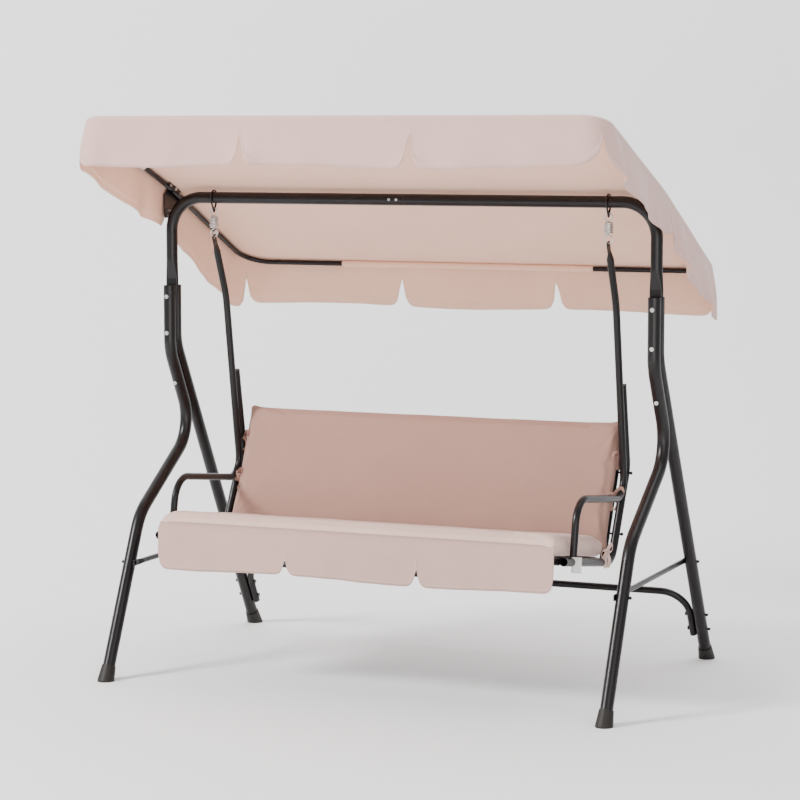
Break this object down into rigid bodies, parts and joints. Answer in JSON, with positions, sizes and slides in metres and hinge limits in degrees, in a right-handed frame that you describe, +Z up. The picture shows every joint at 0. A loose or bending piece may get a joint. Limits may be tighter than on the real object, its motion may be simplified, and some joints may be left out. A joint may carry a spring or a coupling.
{
  "type": "canopy swing bench",
  "caption": "Garden swing bench: arched tube stand, tilting fabric canopy with scalloped valance, and a spring-hung cushioned seat with armrests.",
  "frame": {"origin": "on the ground under the middle of the bench's box", "axes": "+X to the sitter's left as seen from the front (to the right of a viewer facing the seat), +Y to the rear, +Z up; the sitter faces -Y"},
  "size_m": [1.65, 1.1535, 1.7122],
  "materials": {
    "powder_coat": "dark brown-black powder coat, semi-gloss",
    "zinc_steel": "zinc plated",
    "dark_hardware": "black hardware",
    "foot_plastic": "matte grey-brown moulded plastic",
    "black_plastic": "matte black moulded plastic",
    "canopy_fabric": "pinkish beige woven polyester",
    "seat_fabric": "beige woven polyester",
    "back_fabric": "rosy taupe woven polyester",
    "sling_fabric": "dark open mesh"
  },
  "bodies": {
    "frame": {"front_leg_left": "powder_coat", "front_leg_right": "powder_coat", "rear_leg_left": "powder_coat", "rear_leg_right": "powder_coat", "top_bar_left": "powder_coat", "top_bar_right": "powder_coat", "top_bar_joiner": "powder_coat", "side_brace_left": "powder_coat", "side_brace_right": "powder_coat", "rear_stabilizer": "powder_coat", "foot_front_left": "foot_plastic", "foot_front_right": "foot_plastic", "foot_rear_left": "foot_plastic", "foot_rear_right": "foot_plastic", "canopy_bracket_left": "powder_coat", "canopy_bracket_right": "powder_coat", "leg_bolts": "zinc_steel", "brace_bolts": "dark_hardware", "stabilizer_bolts": "dark_hardware", "bracket_bolts": "zinc_steel", "top_bar_rivets": "zinc_steel"},
    "canopy": {"canopy_front_hoop": "powder_coat", "canopy_rear_hoop": "powder_coat", "canopy_joiner_left": "powder_coat", "canopy_joiner_right": "powder_coat", "canopy_pivot_bolts": "zinc_steel", "canopy_cover": "canopy_fabric"},
    "suspension": {"hanger_loop_left": "powder_coat", "hanger_loop_right": "powder_coat", "spring_left": "zinc_steel", "spring_right": "zinc_steel"},
    "seat": {"hanger_left": "powder_coat", "hanger_right": "powder_coat", "seat_side_left": "powder_coat", "seat_side_right": "powder_coat", "back_hoop": "powder_coat", "seat_front_bar": "powder_coat", "seat_rear_bar": "powder_coat", "seat_sling": "sling_fabric", "back_sling": "sling_fabric", "seat_cushion": "seat_fabric", "back_cushion": "back_fabric", "seat_valance": "canopy_fabric", "tube_caps": "black_plastic", "seat_bolts": "dark_hardware"}
  },
  "joints": [
    {"name": "canopy_tilt", "type": "hinge", "parent": "frame", "child": "canopy", "pos_m": [0, -0.018, 1.485], "axis": [1, 0, 0], "range_deg": [0, 46]},
    {"name": "seat_swing", "type": "hinge", "parent": "frame", "child": "suspension", "pos_m": [0, -0.03, 1.46], "axis": [1, 0, 0], "range_deg": [-20, 20]},
    {"name": "spring_bounce", "type": "slide", "parent": "suspension", "child": "seat", "axis": [0, 0, 1], "range_m": [-0.015, 0], "stiffness_N_per_m": 20000, "springref_m": 0.012, "deforming": ["spring_left", "spring_right"]}
  ]
}
